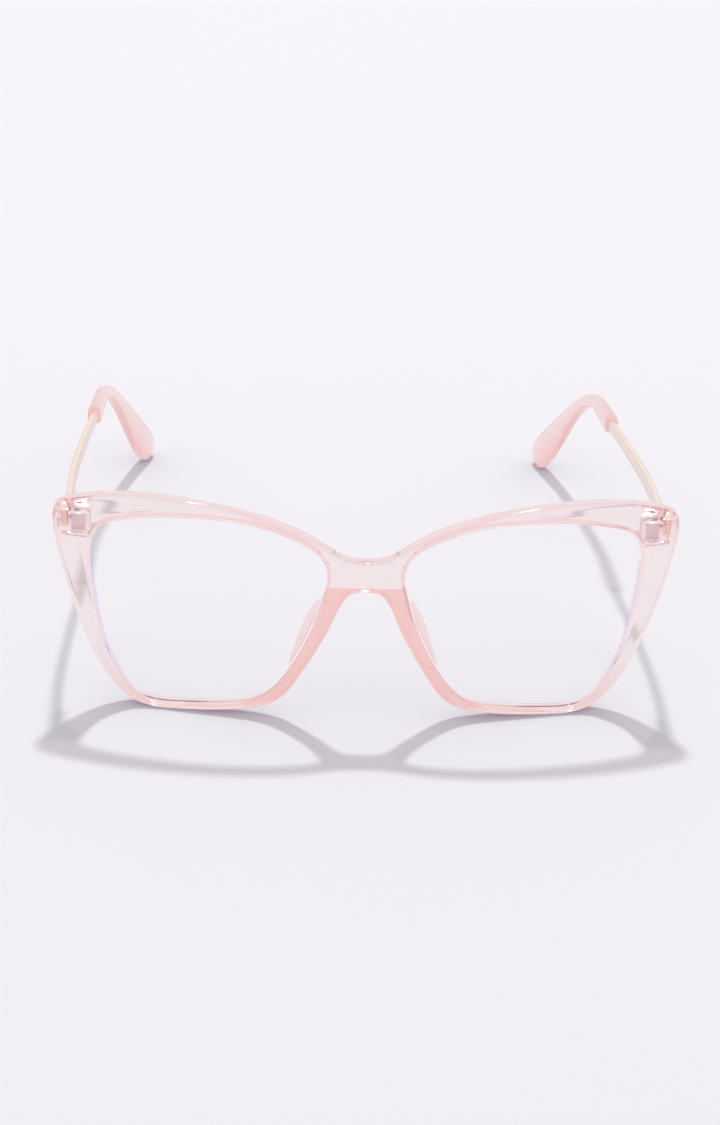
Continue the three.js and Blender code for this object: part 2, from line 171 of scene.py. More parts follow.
# How warm the front is at its feet, at its back and at its upper corners, and how strong the
# painted shade on its walls is
FOOT_WARMTH = 0.4
BACK_WARMTH = 0.1
CORNER_WARMTH = 0.4
WALL_SHADE = 0.2

# How far ahead a surface looks where the front's rounded edges, which carry painted shade, turn
# into its faces and walls
FACE_TURN = (0.6, 0.95)
WALL_TURN = (0.05, 0.4)

# Where the coat's painted violet reflection begins: outwards, downwards and at the lens's rim
COAT_SPAN = (50 * MM, 58 * MM)
COAT_RISE = (37 * MM, 41 * MM)
RIM_SPAN = (0.2, 0.9)

# Where a tip's painted shade grows, from its upper to its lower side
TIP_SHADE_SPAN = (0.25, 0.9)

# How soon a bar's face counts as a side for its painted reflection, how much of the turn between
# its top and its sides is its long edge with a darker painted reflection, and how fine its lines
# are across, along and up
SIDE_GAIN = 1.2
LINE_REACH = 0.8
GOLD_LINES = (4000, 160, 4000)

# Fine relief of the metals
GOLD_RELIEF = 0.005 * MM
STEEL_RELIEF = 0.02 * MM
ETCHED_RELIEF = 0.03 * MM
RELIEF_STRENGTH = 0.3

# Clear plastic, and how often light is turned in it before it leaves straight
CLEAR = {"Transmission Weight": 1, "IOR": 1.5}
MOST_TURNS = 2

# Levels of detail in the fine variation of a surface, shine of the floor, and width of the
# camera's sensor in millimetres
NOISE_DETAIL = 4
FLOOR_SHINE = 0.1
SENSOR_WIDTH = 36


def length(name, text, millimetres):
    """Size property with its default in millimetres"""
    return FloatProperty(name=name, description=text, default=millimetres * MM, unit="LENGTH")


def share(name, text, value):
    """Plain property between nothing and all"""
    return FloatProperty(name=name, description=text, default=value, min=0, max=1)


def colour(name, text, value):
    """Colour property"""
    return FloatVectorProperty(name=name, description=text, default=value, subtype="COLOR", size=3,
                               min=0, max=1)


class FrontSizes(bpy.types.PropertyGroup):
    """Sizes of the moulded front and its lenses"""

    half_width: length("Half width", "From the middle to the front's outer end", 71.2)
    height: length("Height", "From the foot of the rims to the brow", 54.35)
    foot_flat: length("Foot flat", "How much of the lower rims is cut flat", 0.15)
    bridge_half: length("Half bridge", "From the middle to the lens opening", 8.7)
    opening_width: length("Opening width", "Width of a lens opening", 54)
    opening_height: length("Opening height", "Height of a lens opening", 48)
    foot_rim: length("Foot rim", "Rim under a lens opening", 2.15)
    depth: length("Depth", "Thickness of the moulding from front to back", 3.6)
    edge_round: length("Edge rounding", "Radius of the moulding's outer edges", 1.0)
    opening_round: length("Opening rounding", "Radius of the edges of the lens openings", 0.8)
    face_radius: length("Face radius", "Radius of the front's curve", 250)
    groove_depth: length("Groove depth", "How deep the lens groove is", 0.9)
    groove_half: length("Half groove", "Half the width of the lens groove at its mouth", 0.62)
    lens_tuck: length("Lens tuck", "How far the lens goes into its groove", 0.5)
    lens_half: length("Half lens", "Half the thickness of a lens", 0.75)
    lens_chamfer: length("Lens chamfer", "Width of the slope at the edge of a lens", 0.15)
    lens_shoulder: share("Lens shoulder", "Share of its thickness a lens has at its slope", 0.7)
    # The lens line is the ring that carries the coat's painted violet reflection
    lens_line: length("Lens line", "Width of the coat's line at the rim of a lens", 0.7)
    pad_reach: length("Pad reach", "How far the nose pads stand out at the back", 4.1)
    pad_root: length("Pad root", "How deep the nose pads start in the moulding", 1.2)
    pad_thickness: length("Pad thickness", "Thickness of the nose pads", 2.2)
    pad_flare: FloatProperty(name="Pad flare", description="How far the nose pads turn outwards",
                             default=math.radians(35), subtype="ANGLE")
    outline_steps: IntProperty(name="Outline steps", description="Points along each outline span",
                               default=12, min=2)


class HingeSizes(bpy.types.PropertyGroup):
    """Sizes of the hinges and of the bosses that hold them"""

    level: length("Level", "Height of the temple bars at the hinges", 45.6)
    middle: length("Middle", "Height of the middle of the hinges", 44.4)
    height: length("Height", "Height of a hinge", 4.2)
    gap: length("Gap", "Gap between pieces that move or fit", 0.3)
    barrel_radius: length("Barrel radius", "Radius of the knuckles", 1.3)
    plate_inner: length("Plate inner edge", "From the middle to the plate's inner edge", 63.15)
    plate_width: length("Plate width", "Width of the plate in the boss", 3.4)
    plate_depth: length("Plate depth", "Depth of the plate in the boss", 1.2)
    boss_inner: length("Boss inner edge", "From the middle to the boss's inner edge", 62.25)
    boss_width: length("Boss width", "Width of a boss", 6.7)
    boss_height: length("Boss height", "Height of a boss", 7)
    boss_corner: length("Boss corner", "Radius of the boss's inner upper corner", 2)
    boss_depth: length("Boss depth", "From a boss's root in the moulding to its back", 4.4)
    boss_round: length("Boss rounding", "Radius of the boss's edges", 0.3)
    boss_drop: length("Boss drop", "How far a boss reaches under the hinge", 0.7)
    recess_round: length("Recess rounding", "Radius of the edges of the hollows in a boss", 0.12)
    leaf_thickness: length("Leaf thickness", "Thickness of the leaf along the bar", 0.8)
    leaf_height: length("Leaf height", "Height of the leaf", 3.2)
    leaf_length: length("Leaf length", "Length of the leaf", 6)
    leaf_start: length("Leaf start", "From the hinge's axis to the leaf", 1.7)
    knuckle_gap: length("Knuckle gap", "Gap between two knuckles", 0.4)
    steel_round: length("Steel rounding", "Radius of the edges of the hinges", 0.12)
    stud_rise: length("Stud rise", "How far the studs of the etched grip stand out", 0.09)
    stud_share: share("Stud share", "Width and height of a stud as a share of their spacing", 0.6)
    stud_columns: IntProperty(name="Stud columns", description="Studs across the grip", default=4)
    stud_rows: IntProperty(name="Stud rows", description="Studs up the grip", default=9)
    screw_radius: length("Screw radius", "Radius of the screw's shaft", 0.55)
    head_radius: length("Head radius", "Radius of the screw's head", 1.05)
    head_height: length("Head height", "Height of the screw's head", 0.6)
    head_round: length("Head rounding", "Radius of the edges of the screw's head", 0.18)
    slot_width: length("Slot width", "Width of the slot in the screw's head", 0.35)
    slot_depth: length("Slot depth", "Depth of the slot in the screw's head", 0.3)


class TempleSizes(bpy.types.PropertyGroup):
    """Sizes of the temple bars and tips"""

    reach: length("Reach", "From the front of the bar to the end of the tip", 126.3)
    bow: length("Bow", "How far the temple bows inwards", 2.75)
    lean_left: length("Lean of the left tip", "How far the left tip leans inwards", 10)
    lean_right: length("Lean of the right tip", "How far the right tip leans inwards", 9.2)
    end_rise: length("End rise", "Height of the middle of the tip's end", 0.55)
    bar_offset: length("Bar offset", "From the hinge's axis out to the bar's middle", 3.1)
    bar_start: length("Bar start", "From the hinge's axis forwards to the bar's front end", 3.57)
    bar_thickness: length("Bar thickness", "Thickness of the bar", 1.5)
    bar_height: length("Bar height", "Height of the bar at the hinge", 3.6)
    bar_end_height: length("Bar end height", "Height of the bar at the tip", 2.4)
    bar_round: length("Bar rounding", "Radius of the bar's edges", 0.22)
    sleeve_width: length("Sleeve width", "Width of the tip at its mouth", 3.5)
    paddle_height: length("Paddle height", "Height of the tip at its end", 8)
    mouth_depth: length("Mouth depth", "How deep the recess in the tip's mouth is", 1.4)
    mouth_wide: share("Mouth width", "Width of the recess as a share of the tip's", 0.74)
    mouth_tall: share("Mouth height", "Height of the recess as a share of the tip's", 0.8)
    # Turn of the tips' painted shade, which makes their lower edge warmer
    shade_turn: FloatProperty(name="Warm turn", subtype="ANGLE", default=math.radians(25),
                             description="How far a tip's warm lower edge is turned outwards")
    tip_offset: length("Tip offset", "How far the tip's middle lies outside the bar's", 0.2)
    open_right: FloatProperty(name="Right temple turn", subtype="ANGLE", default=math.radians(3.4),
                              description="How far the right temple stands short of its stop")


class Colours(bpy.types.PropertyGroup):
    """Colours of the finishes and of the light"""

    moulding: colour("Moulding", "Surface colour of the clear pink moulding", (1.0, 0.915, 0.905))
    # Edge: painted shade, the warm lines that refraction makes along the rounded edges
    edge: colour("Edge", "Colour of the moulding's edges", (1.0, 0.76, 0.72))
    # Coral is the moulding's own colour round the nose; low on the tips it is painted shade
    coral_and_tip_shade: colour("Coral", "Warmer colour of the moulding round the nose and low on the tips",
                  (1.0, 0.58, 0.53))
    moulding_depth: colour("Moulding depth", "Colour that the moulding takes with depth",
                           (1.0, 0.22, 0.18))
    moulding_density: FloatProperty(name="Moulding density", default=6,
                                    description="How fast the moulding takes on its depth colour")
    moulding_shadow: colour("Moulding shadow", "Tint of the front's shadow", (0.5, 0.42, 0.49))
    moulding_inside: colour("Moulding inside", "Tint of light that is turned often in the front",
                            (1.0, 0.93, 0.93))
    tip: colour("Tip", "Surface colour of the tips", (1.0, 0.86, 0.85))
    tip_shadow: colour("Tip shadow", "Tint of the tips' shadows", (0.5, 0.42, 0.47))
    tip_inside: colour("Tip inside", "Tint of light that is turned often in the tips",
                       (1.0, 0.85, 0.84))
    lens: colour("Lens", "Colour of the lenses", (1.0, 1.0, 1.0))
    lens_shadow: colour("Lens shadow", "Tint of the lenses' shadows", (0.985, 0.985, 0.99))
    lens_inside: colour("Lens inside", "Tint of light that is turned often in a lens",
                        (1.0, 1.0, 1.0))
    # Painted reflection: the violet that the lenses' coat reflects along their outer edge
    coat_reflection: colour("Coat", "Colour at the outer edge of the lenses", (0.82, 0.75, 1.0))
    gold: colour("Gold", "Colour of the temple bars", (0.99, 0.85, 0.69))
    # Painted reflections: the bars' sides pinker and their long edges darker, as the surroundings
    # they mirror
    gold_side_reflection: colour("Gold side", "Colour of the sides of the temple bars", (0.9, 0.76, 0.71))
    gold_edge_reflection: colour("Gold line", "Colour of the long edges of the temple bars",
                      (0.8, 0.66, 0.56))
    steel: colour("Steel", "Colour of the hinges", (0.92, 0.92, 0.94))
    etched: colour("Etched steel", "Colour of the hinges' etched grips", (0.46, 0.4, 0.46))
    floor: colour("Floor", "Colour of the floor", (0.9, 0.893, 0.925))
    sky: colour("Sky", "Colour of the soft light", (1.0, 0.985, 1.0))
    key: colour("Key", "Colour of the key light", (1.0, 0.985, 0.99))


class StageSizes(bpy.types.PropertyGroup):
    """Place of the camera and of the floor, and place and strength of the lights"""

    aim: FloatVectorProperty(name="Aim", description="Point in the middle of the picture", size=3,
                             default=(-0.00127, -0.061524, 0.03706), subtype="XYZ")
    azimuth: FloatProperty(name="Azimuth", description="How far the camera stands to the left",
                           default=math.radians(1.507), subtype="ANGLE")
    elevation: FloatProperty(name="Elevation", description="How steeply the camera looks down",
                             default=math.radians(27.742), subtype="ANGLE")
    distance: length("Distance", "From the camera to the middle of the picture", 699.85)
    roll: FloatProperty(name="Roll", description="How far the camera is turned about its view",
                        default=math.radians(1.649), subtype="ANGLE")
    focal: FloatProperty(name="Focal length", description="Focal length in mm", default=98.2)
    key_place: FloatVectorProperty(name="Key place", description="Where the key light stands",
                                   size=3, default=(0.002, 0.54, 1.23), subtype="XYZ")
    key_size: length("Key size", "Radius of the key light", 42)
    key_strength: FloatProperty(name="Key strength", description="Strength of the key", default=17)
    sky_strength: FloatProperty(name="Sky strength", description="Strength of the soft light",
                                default=0.62)
    floor_half: length("Half floor", "Half the width of the floor", 20000)
    floor_drop: length("Floor drop", "How far the floor lies under the feet", 0.03)


def mix_points(a, b, way):
    """Row between two rows of numbers"""
    return [x + (y - x) * way for x, y in zip(a, b)]


def smooth_points(points, steps, closed):
    """Points on a smooth curve through the given points"""
    count = len(points)
    spans = count if closed else count - 1
    made = []
    for i in range(spans):
        here, there = points[i], points[(i + 1) % count]
        before = points[i - 1] if closed or i else here * 2 - there
        after = points[(i + 2) % count] if closed or i < spans - 1 else there * 2 - here
        back, span, ahead = ((b - a).length ** 0.5 for a, b in
                             ((before, here), (here, there), (there, after)))
        leave = (here - before) / back - (there - before) / (back + span) + (there - here) / span
        arrive = (there - here) / span - (after - here) / (span + ahead) + (after - there) / ahead
        pull = span / 3
        row = geometry.interpolate_bezier(here, here + leave * pull, there - arrive * pull, there,
                                          steps + 1)
        made.extend(row[:-1])
    return made if closed else made + [points[-1]]


def sag(x, z, front):
    """How far the front's curve sets a point back"""
    return (x * x + (z - front.height / 2) ** 2) / (2 * front.face_radius)


def front_y(front):
    """Where the bridge's front face stands"""
    return FRONT_LOW.y - sag(0, BRIDGE_SHARE * front.height, front)


def outer_half(front):
    """Right half of the front's outline, from the bridge's top round to the nose arch's top"""
    rim = [Vector((x * front.half_width, 0, z * front.height)) for x, z in RIM_SHARES]
    nose = [Vector((x * front.bridge_half, 0, z * front.height)) for x, z in NOSE_SHARES]
    half = rim + nose
    other = [Vector((-p.x, 0, p.z)) for p in reversed(half[1:-1])]
    loop = smooth_points(half + other, front.outline_steps, True)
    drop = Vector((0, 0, front.foot_flat))
    return [p - drop for p in loop[:(len(half) - 1) * front.outline_steps + 1]]


def opening_loop(front, margin, steps):
    """Outline of the right lens opening, grown all round by a margin"""
    width = front.opening_width + 2 * margin
    height = front.opening_height + 2 * margin
    corner = Vector((front.bridge_half - margin, 0, front.foot_rim - margin - front.foot_flat))
    points = [corner + Vector((x * width, 0, z * height)) for x, z in OPENING_SHARES]
    return smooth_points(points, steps, True)


def opening_centre(front):
    """Middle of the right lens opening"""
    return Vector((front.bridge_half + front.opening_width / 2, 0,
                   front.foot_rim + front.opening_height / 2))


def facing_rows(front, count):
    """Rows of the opening's table that the points of the outline face, and after them the points
    of the seam in the middle of the bridge"""
    rows = []
    for i in range(count):
        at = min(i / front.outline_steps, len(FACING_ROWS) - 1)
        before = min(int(at), len(FACING_ROWS) - 2)
        row, after = FACING_ROWS[before:before + 2]
        rows.append(row + (after - row) * (at - before))
    last, first = FACING_ROWS[-1], FACING_ROWS[0] + len(OPENING_SHARES)
    return rows + [last + (first - last) * way for way in SEAM_WAYS]


def facing_points(front, count):
    """Points of the right opening that the outline and the seam face, with their ways into the
    rim"""
    fine = FINE_TIMES * front.outline_steps
    loop = opening_loop(front, 0, fine)
    return [point_and_way(loop, row * fine) for row in facing_rows(front, count)]


def point_and_way(loop, at):
    """Point of a closed loop at a fractional index, and the way out of the loop there"""
    i = int(at)
    here, there = loop[i % len(loop)], loop[(i + 1) % len(loop)]
    along = (loop[(i + 2) % len(loop)] - loop[(i - 1) % len(loop)]).normalized()
    return here.lerp(there, at - i), Vector((-along.z, 0, along.x))


def next_row(bm, row, places, closed=True):
    """Extrudes a row of vertices to new places and returns the new row"""
    pairs = list(zip(row, row[1:] + row[:1])) if closed else list(zip(row, row[1:]))
    made = bmesh.ops.extrude_edge_only(bm, edges=[bm.edges.get(pair) for pair in pairs])["geom"]
    new = {v for v in made if isinstance(v, bmesh.types.BMVert)}
    made_row = [next(e.other_vert(v) for e in v.link_edges if e.other_vert(v) in new) for v in row]
    for v, place in zip(made_row, places):
        v.co = place
    return made_row


def closed_wire(bm, points):
    """Closed row of vertices, joined by edges"""
    verts = [bm.verts.new(p) for p in points]
    for pair in zip(verts, verts[1:] + verts[:1]):
        bm.edges.new(pair)
    return verts


def finish(bm, name, material, body, node):
    """Makes a finished piece of a shape"""
    bmesh.ops.remove_doubles(bm, verts=bm.verts, dist=SAME)
    return settle(loose(bm, name), material, body, node)


def settle(piece, material, body, node):
    """Gives a piece its finish and lets it ride on a body and stand for a node"""
    piece.data.materials.clear()
    piece.data.materials.append(material)
    piece.data.shade_smooth()
    piece.data.set_sharp_from_angle(angle=SHARP_ANGLE)
    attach(piece, body)
    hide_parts(node)
    return piece


def loose(bm, name):
    """Makes a plain piece of a shape"""
    bmesh.ops.recalc_face_normals(bm, faces=bm.faces)
    mesh = bpy.data.meshes.new(name)
    bm.to_mesh(mesh)
    bm.free()
    piece = bpy.data.objects.new(name, mesh)
    bpy.context.scene.collection.objects.link(piece)
    return piece


def combined(piece, tool, operation):
    """Joins a tool to a piece or cuts it out, and removes the tool"""
    change = piece.modifiers.new("Join", "BOOLEAN")
    change.operation = operation
    change.solver = "MANIFOLD"
    change.object = tool
    graph = bpy.context.evaluated_depsgraph_get()
    mesh = bpy.data.meshes.new_from_object(piece.evaluated_get(graph))
    piece.modifiers.clear()
    old = piece.data
    piece.data = mesh
    bpy.data.meshes.remove(old)
    bpy.data.objects.remove(tool)
    return piece


def soften(bm, edges, radius, steps=2):
    """Rounds edges to a radius"""
    bmesh.ops.bevel(bm, geom=edges, offset=radius, offset_type="OFFSET", segments=steps,
                    profile=0.5, affect="EDGES", material=-1)


def rounded_box(bm, low, high, radius):
    """Box between two corners with rounded edges"""
    made = bmesh.ops.create_cube(bm, size=1)["verts"]
    bmesh.ops.scale(bm, vec=high - low, verts=made)
    bmesh.ops.translate(bm, vec=(high + low) / 2, verts=made)
    if radius:
        soften(bm, list({e for v in made for e in v.link_edges}), radius)
    return made


def upright(bm, radius, centre, bottom, top, rim_round):
    """Upright cylinder with rounded rims"""
    made = bmesh.ops.create_cone(bm, cap_ends=True, segments=CYLINDER_AROUND, radius1=radius,
                                 radius2=radius, depth=top - bottom)["verts"]
    bmesh.ops.translate(bm, vec=(centre.x, centre.y, (top + bottom) / 2), verts=made)
    rims = [e for e in {e for v in made for e in v.link_edges}
            if abs(e.verts[0].co.z - e.verts[1].co.z) < SAME]
    soften(bm, rims, rim_round)


def flip_to(bm, side):
    """Turns what was made for the right side into its left copy when the side is the left one"""
    if side < 0:
        bmesh.ops.scale(bm, vec=(-1, 1, 1), verts=bm.verts)
        bmesh.ops.reverse_faces(bm, faces=bm.faces)


def mirrored(bm):
    """Adds the left copy of what was made for the right side"""
    bmesh.ops.mirror(bm, geom=bm.verts[:] + bm.edges[:] + bm.faces[:], matrix=Matrix(),
                     merge_dist=0, axis="X")


def quarter_round(radius, steps):
    """Rows of a rounded edge from the wall to the face: how far in and how far below the face"""
    turns = [math.radians(90) * i / steps for i in range(steps + 1)]
    return [(radius * (1 - math.cos(turn)), radius * (1 - math.sin(turn))) for turn in turns]


def rows_between(first, last):
    """Rows of points over a face, from one edge row to the other"""
    ways = [(i + 1) / FACE_STEPS for i in range(FACE_STEPS)]
    return [[a.lerp(b, way) for a, b in zip(first, last)] for way in ways]


def front_blank(front):
    """Front moulding with rounded edges and lens grooves, before its pads and bosses"""
    outline = outer_half(front)
    ways = outline_ways(outline)
    openings = facing_points(front, len(outline))
    depth, middle = front.depth, front.depth / 2

    def outline_row(inwards, y):
        """Outline moved into the moulding, at a depth"""
        return [p + way * inwards + Vector((0, y, 0)) for p, way in zip(outline, ways)]

    def face_row(y):
        """Outer edge of a face at a depth, closed by the seam"""
        row = outline_row(front.edge_round, y)
        return row + [row[-1].lerp(row[0], way) for way in SEAM_WAYS]

    def opening_row(outwards, y):
        """Opening grown into the rim, at a depth"""
        return [p + way * outwards + Vector((0, y, 0)) for p, way in openings]

    soft = quarter_round(front.opening_round, OPENING_ROUND_STEPS)
    rows = rows_between(face_row(0), opening_row(front.opening_round, 0))
    rows += [opening_row(out, y) for out, y in reversed(soft[:-1])]
    rows += [opening_row(0, middle - front.groove_half), opening_row(front.groove_depth, middle),
             opening_row(0, middle + front.groove_half)]
    rows += [opening_row(out, depth - y) for out, y in soft]
    rows += rows_between(opening_row(front.opening_round, depth), face_row(depth))
    bm = bmesh.new()
    row = closed_wire(bm, face_row(0))
    for places in rows:
        row = next_row(bm, row, places)

    outer_soft = quarter_round(front.edge_round, EDGE_ROUND_STEPS)
    rows = [outline_row(out, depth - y) for out, y in reversed(outer_soft[:-1])]
    rows += [outline_row(out, y) for out, y in outer_soft]
    row = row[:len(outline)]
    for places in rows:
        row = next_row(bm, row, places, closed=False)
    mirrored(bm)
    bmesh.ops.remove_doubles(bm, verts=bm.verts, dist=SAME)
    base = front_y(front)
    for v in bm.verts:
        v.co.y += base + sag(v.co.x, v.co.z, front)
        v.co.z = max(v.co.z, 0)
    return bm


def outline_ways(outline):
    """Way from each point of the right half's outline into the moulding"""
    def mirror(p):
        """Point on the left that matches one on the right"""
        return Vector((-p.x, 0, p.z))

    padded = [mirror(outline[1])] + outline + [mirror(outline[-2])]
    ways = []
    for before, after in zip(padded, padded[2:]):
        along = (after - before).normalized()
        ways.append(Vector((along.z, 0, -along.x)))
    return ways


def nose_pad(front):
    """Right nose pad: a rounded fin behind the rim that opens outwards as it goes back"""
    back = Vector((math.sin(front.pad_flare), math.cos(front.pad_flare), 0))
    across = Vector((math.cos(front.pad_flare), -math.sin(front.pad_flare), 0))
    turn = Matrix((back, across, Vector((0, 0, 1)))).transposed()
    rows = smooth_points([Vector(row[:3]) for row in PAD_SHARES], PAD_STEPS, False)
    sections = []
    for i, (out_share, up_share, reach_share) in enumerate(rows):
        before = min(i // PAD_STEPS, len(PAD_SHARES) - 2)
        thick_share = mix_points(PAD_SHARES[before], PAD_SHARES[before + 1],
                                 i / PAD_STEPS - before)[3]
        x = out_share * front.bridge_half
        z = up_share * front.height
        reach = front.pad_reach * reach_share + front.pad_root
        root = Vector((x, front_y(front) + sag(x, z, front) + front.depth - front.pad_root, z))
        size = Matrix.Diagonal((reach, front.pad_thickness * thick_share, 1))
        sections.append(Matrix.Translation(root + back * reach / 2) @ (turn @ size).to_4x4())
    bm = bmesh.new()
    ring = bmesh.ops.create_circle(bm, segments=PAD_AROUND, radius=0.5)["verts"]
    tube(bm, squared_off(ring, PAD_SQUARENESS), sections)
    return bm


def squared_off(ring, squareness):
    """Bends a round ring, one unit across, towards a square"""
    for v in ring:
        x, y = v.co.x * 2, v.co.y * 2
        v.co.x = math.copysign(abs(x) ** (2 / squareness), x) / 2
        v.co.y = math.copysign(abs(y) ** (2 / squareness), y) / 2
    return ring


def tube(bm, ring, sections):
    """Takes a flat ring through the sections and closes both ends"""
    shape = [v.co.copy() for v in ring]
    for v, spot in zip(ring, shape):
        v.co = sections[0] @ spot
    row = ring
    for section in sections[1:]:
        row = next_row(bm, row, [section @ spot for spot in shape])
    bm.faces.new(ring)
    bm.faces.new(row)


def boss(hinge):
    """Right boss: a block behind the front's upper corner with one round corner"""
    bm = bmesh.new()
    inner = hinge.boss_inner
    outer = inner + hinge.boss_width
    bottom = SCREW_LOW.z - hinge.boss_drop
    top = bottom + hinge.boss_height
    centre = Vector((inner + hinge.boss_corner, 0, top - hinge.boss_corner))
    turns = [math.radians(90) * i / BOSS_CORNER_STEPS for i in range(BOSS_CORNER_STEPS + 1)]
    corner = [centre + hinge.boss_corner * Vector((-math.sin(turn), 0, math.cos(turn)))
              for turn in turns]
    outline = [Vector((outer, 0, top))] + corner
    outline += [Vector((inner, 0, bottom)), Vector((outer, 0, bottom))]
    face = bm.faces.new([bm.verts.new(p) for p in outline])
    made = bmesh.ops.extrude_face_region(bm, geom=[face])["geom"]
    back = [v for v in made if isinstance(v, bmesh.types.BMVert)]
    bmesh.ops.translate(bm, vec=(0, hinge.boss_depth, 0), verts=back)
    rim = [e for e in bm.edges if all(v in back for v in e.verts)]
    soften(bm, rim, hinge.boss_round, steps=3)
    bmesh.ops.translate(bm, vec=(0, FRONT_HIGH.y - hinge.boss_depth, 0), verts=bm.verts)
    return bm


def boss_hollows(hinge, temple):
    """What is cut from the right boss: the recess for the plate and the slot for the bar"""
    bm = bmesh.new()
    gap = hinge.gap
    past = FRONT_HIGH.y + hinge.boss_depth
    low = Vector((hinge.plate_inner, FRONT_HIGH.y - hinge.plate_depth, SCREW_LOW.z))
    high = Vector((hinge.plate_inner + hinge.plate_width + gap, past,
                   SCREW_LOW.z + hinge.height + gap))
    rounded_box(bm, low - Vector((gap, gap, gap)), high, hinge.recess_round)
    inner = HINGE_X + temple.bar_offset - temple.bar_thickness / 2
    half = temple.bar_height / 2 + gap
    low = Vector((inner - gap, HINGE_Y - temple.bar_start - gap, hinge.level - half))
    high = Vector((inner + temple.bar_thickness + hinge.boss_depth, past, hinge.level + half))
    rounded_box(bm, low, high, hinge.recess_round)
    return bm


class GLASSES_OT_front(bpy.types.Operator):
    """Make the clear pink front with its nose pads and hinge bosses"""

    bl_idname = "glasses.front"
    bl_label = "Front"

    def execute(self, context):
        front = context.scene.glasses_front
        hinge = context.scene.glasses_hinge
        piece = loose(front_blank(front), "front_moulding")
        hollows = boss_hollows(hinge, context.scene.glasses_temple)
        for shape, operation in ((nose_pad(front), "UNION"), (boss(hinge), "UNION"),
                                 (hollows, "DIFFERENCE")):
            mirrored(shape)
            combined(piece, loose(shape, "change"), operation)
        material = moulding_material(front, context.scene.glasses_colours)
        settle(piece, material, "front", "front_frame")
        return {"FINISHED"}


class GLASSES_OT_lenses(bpy.types.Operator):
    """Make the two curved lenses"""

    bl_idname = "glasses.lenses"
    bl_label = "Lenses"

    def execute(self, context):
        material = lens_material(context.scene.glasses_colours)
        for word, side in SIDES:
            bm = lens_shape(context.scene.glasses_front)
            flip_to(bm, side)
            finish(bm, f"lens_shaped_{word}", material, "front", f"lens_{word}")
        return {"FINISHED"}


def lens_shape(front):
    """Right lens: two curved faces and an edge that comes to a ridge; its points know whether they
    lie at its rim"""
    bm = bmesh.new()
    rim = bm.verts.layers.float.new("rim")
    loop = opening_loop(front, front.lens_tuck, front.outline_steps)
    centre = opening_centre(front)
    middle = front_y(front) + front.depth / 2
    reach = front.opening_width / 2
    edge_share = 1 - front.lens_tuck / reach
    face_share = edge_share - front.lens_chamfer / reach
    clear_share = face_share - front.lens_line / reach
    rows = [(edge_share, front.lens_shoulder), (face_share, 1)]
    rows += [(clear_share * (1 - i / LENS_RINGS), 1) for i in range(LENS_RINGS)]

    def placed(spot, way, off):
        """Point between the lens's middle and its ridge, off its middle layer"""
        x = centre.x + (spot.x - centre.x) * way
        z = centre.z + (spot.z - centre.z) * way
        return Vector((x, middle + off + sag(x, z, front), z))

    ridge = closed_wire(bm, [placed(p, 1, 0) for p in loop])
    for off in (-front.lens_half, front.lens_half):
        row = ridge
        for way, thick in rows:
            row = next_row(bm, row, [placed(p, way, off * thick) for p in loop])
            for v in row:
                v[rim] = 1 if way > clear_share else 0
        middle_vert = bm.verts.new(placed(centre, 1, off))
        for pair in zip(row, row[1:] + row[:1]):
            bm.faces.new((*pair, middle_vert))
    return bm


def temple_path(hinge, temple, lean):
    """Middle line of a temple on the right, about its hinge's axis, with its length so far"""
    fall = hinge.level - temple.end_rise
    points = [Vector((temple.bar_offset - bow * temple.bow - way * lean,
                      back * temple.reach - temple.bar_start, hinge.level - down * fall))
              for back, bow, way, down in TEMPLE_SHARES]
    line = smooth_points(points, LINE_STEPS, False)
    so_far = [0]
    for a, b in zip(line, line[1:]):
        so_far.append(so_far[-1] + (b - a).length)
    return line, so_far


def section_at(path, distance, width, height, shift):
    """Section of the temple at a distance along its line: its place, turn and size"""
    line, so_far = path
    i = 1
    while i < len(line) - 1 and so_far[i] < distance:
        i += 1
    way = (distance - so_far[i - 1]) / (so_far[i] - so_far[i - 1])
    spot = line[i - 1].lerp(line[i], way)
    before = line[max(i - 2, 0)]
    after = line[min(i + 1, len(line) - 1)]
    along = (after - before).normalized()
    side = Vector((along.y, -along.x, 0)).normalized()
    up = side.cross(along)
    turn = Matrix((side, up, -along)).transposed() @ Matrix.Diagonal((width, height, 1))
    return Matrix.Translation(spot - side * shift) @ turn.to_4x4()


def stand_temple(bm, side, angle):
    """Sets a temple made for the right, about its hinge's axis, on its own side"""
    flip_to(bm, side)
    bmesh.ops.rotate(bm, cent=(0, 0, 0), matrix=Matrix.Rotation(side * angle, 3, "Z"),
                     verts=bm.verts)
    bmesh.ops.translate(bm, vec=(side * HINGE_X, HINGE_Y, 0), verts=bm.verts)


def temple_cases(temple):
    """Side word, side, lean of the tip and turn of each temple"""
    return (("left", -1, temple.lean_left, 0), ("right", 1, temple.lean_right, temple.open_right))


def tip_row(way):
    """Row of the tip's table at a share of its length"""
    for a, b in zip(TIP_SHARES, TIP_SHARES[1:]):
        if way <= b[0]:
            return mix_points(a, b, (way - a[0]) / (b[0] - a[0]))


class GLASSES_OT_bars(bpy.types.Operator):
    """Make the flat gold bars of the temples"""

    bl_idname = "glasses.bars"
    bl_label = "Bars"

    def execute(self, context):
        temple = context.scene.glasses_temple
        material = gold_material(context.scene.glasses_colours)
        for word, side, lean, angle in temple_cases(temple):
            bm = bar_shape(temple, temple_path(context.scene.glasses_hinge, temple, lean))
            stand_temple(bm, side, angle)
            finish(bm, f"bar_shaped_{word}", material, f"temple_{word}", f"temple_bar_{word}")
        return {"FINISHED"}


